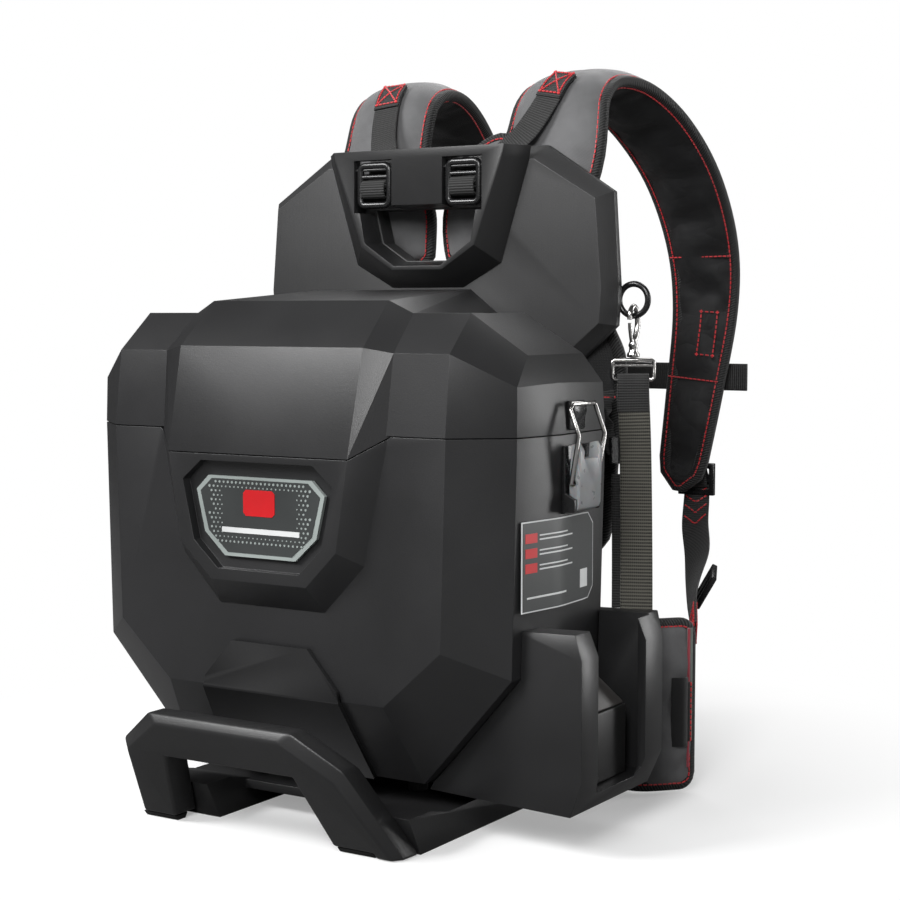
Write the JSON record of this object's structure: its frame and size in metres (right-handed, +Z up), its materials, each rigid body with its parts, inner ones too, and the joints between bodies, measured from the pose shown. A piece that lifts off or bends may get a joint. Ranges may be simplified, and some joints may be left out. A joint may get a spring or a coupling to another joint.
{
  "type": "backpack battery power unit with harness",
  "caption": "Black moulded backpack battery housing with side latches, lift-off lid, side connector dock, stand bar and a padded shoulder and hip harness.",
  "frame": {"origin": "on the floor under the middle of the bounding box", "axes": "+Z up; +Y from the case towards the wearer, so the badge faces -Y; +X to the side with the connector dock"},
  "size_m": [0.478, 0.545, 0.605],
  "materials": {
    "case_plastic": "finely grained black moulded plastic with a satin sheen",
    "frame_plastic": "black moulded plastic with a fine vertical grain",
    "buckle_plastic": "smooth black acetal",
    "lever_plastic": "grey translucent moulded plastic",
    "dock_plastic": "dark grey brown moulded plastic",
    "rubber": "matt black rubber",
    "steel": "bright nickel plated steel wire and casting",
    "badge": "dark printed badge with a pale grey green border",
    "pad_grey": "grey woven nylon shell, charcoal lining, black ribbed binding with red stitching",
    "pad_black": "black spacer mesh over foam",
    "webbing": "black ribbed polyester webbing with red stitches",
    "battery": "dark grey plastic battery housing",
    "board": "green circuit board"
  },
  "bodies": {
    "pack": {"back_frame": "frame_plastic", "back_pad": "pad_black", "badge_plate": "badge", "base_sled": "case_plastic", "battery_module_left": "battery", "battery_module_right": "battery", "battery_tray": "case_plastic", "carry_handle": "frame_plastic", "case_mount_left": "rubber", "case_mount_right": "rubber", "control_board": "board", "dock_block": "dock_plastic", "dock_ramp": "dock_plastic", "foot_front_left": "rubber", "foot_front_right": "rubber", "foot_rear": "rubber", "hanging_strap": "webbing", "harness_ring": "buckle_plastic", "hatch_cover": "case_plastic", "hip_buckle_female": "buckle_plastic", "hip_webbing_right": "webbing", "hip_wing_left": "pad_grey", "hip_wing_right": "pad_grey", "latch_base_left": "buckle_plastic", "latch_base_right": "buckle_plastic", "lifter_strap_left": "webbing", "lifter_strap_right": "webbing", "lower_buckle_left": "buckle_plastic", "lower_buckle_right": "buckle_plastic", "lower_case": "case_plastic", "lower_strap_left": "webbing", "lower_strap_right": "webbing", "lumbar_pad": "pad_black", "output_socket": "dock_plastic", "power_lead": "rubber", "shoulder_pad_left": "pad_grey", "shoulder_pad_right": "pad_grey", "side_pocket": "case_plastic", "snap_eye": "steel", "stand_bar": "case_plastic", "sternum_buckle_female": "buckle_plastic", "sternum_strap_right": "webbing", "tip_buckle_left": "buckle_plastic", "tip_buckle_right": "buckle_plastic"},
    "lid": {"lid": "case_plastic", "lid_gasket": "rubber", "latch_catch_left": "buckle_plastic", "latch_catch_right": "buckle_plastic"},
    "lever_left": {"latch_lever_left": "lever_plastic"},
    "bail_left": {"latch_bail_left": "steel"},
    "lock_left": {"ladder_lock_left": "buckle_plastic"},
    "lever_right": {"latch_lever_right": "lever_plastic"},
    "bail_right": {"latch_bail_right": "steel"},
    "lock_right": {"ladder_lock_right": "buckle_plastic"},
    "snap": {"snap_hook": "steel"},
    "gate": {"snap_gate": "steel"},
    "sternum_tongue": {"sternum_buckle_male": "buckle_plastic", "sternum_strap_left": "webbing"},
    "hip_tongue": {"hip_buckle_male": "buckle_plastic", "hip_webbing_left": "webbing"}
  },
  "joints": [
    {"name": "lid_lift", "type": "slide", "parent": "pack", "child": "lid", "axis": [0, 0, 1], "range_m": [0, 0.07]},
    {"name": "lever_swing_left", "type": "hinge", "parent": "pack", "child": "lever_left", "pos_m": [-0.22246, -0.0925, 0.255], "axis": [0, -1, 0], "range_deg": [0, 110]},
    {"name": "bail_swing_left", "type": "hinge", "parent": "lever_left", "child": "bail_left", "pos_m": [-0.22196, -0.0925, 0.272], "axis": [0, -1, 0], "range_deg": [0, 80]},
    {"name": "lock_tilt_left", "type": "hinge", "parent": "pack", "child": "lock_left", "pos_m": [-0.05496, 0.0045, 0.521], "axis": [-1, 0, 0], "range_deg": [0, 35]},
    {"name": "lever_swing_right", "type": "hinge", "parent": "pack", "child": "lever_right", "pos_m": [0.20254, -0.0925, 0.255], "axis": [0, 1, 0], "range_deg": [0, 110]},
    {"name": "bail_swing_right", "type": "hinge", "parent": "lever_right", "child": "bail_right", "pos_m": [0.20204, -0.0925, 0.272], "axis": [0, 1, 0], "range_deg": [0, 80]},
    {"name": "lock_tilt_right", "type": "hinge", "parent": "pack", "child": "lock_right", "pos_m": [0.03504, 0.0045, 0.521], "axis": [-1, 0, 0], "range_deg": [0, 35]},
    {"name": "snap_swivel", "type": "hinge", "parent": "pack", "child": "snap", "pos_m": [0.17404, 0.0435, 0.352], "axis": [0, 0, 1], "range_deg": [-20, 20]},
    {"name": "gate_swing", "type": "hinge", "parent": "snap", "child": "gate", "pos_m": [0.17404, 0.041, 0.375], "axis": [-1, 0, 0], "range_deg": [0, 20], "stiffness_Nm_per_rad": 0.02},
    {"name": "sternum_release", "type": "slide", "parent": "pack", "child": "sternum_tongue", "axis": [-1, 0, 0], "range_m": [0, 0.022]},
    {"name": "hip_release", "type": "slide", "parent": "pack", "child": "hip_tongue", "axis": [-1, 0, 0], "range_m": [0, 0.022]}
  ]
}
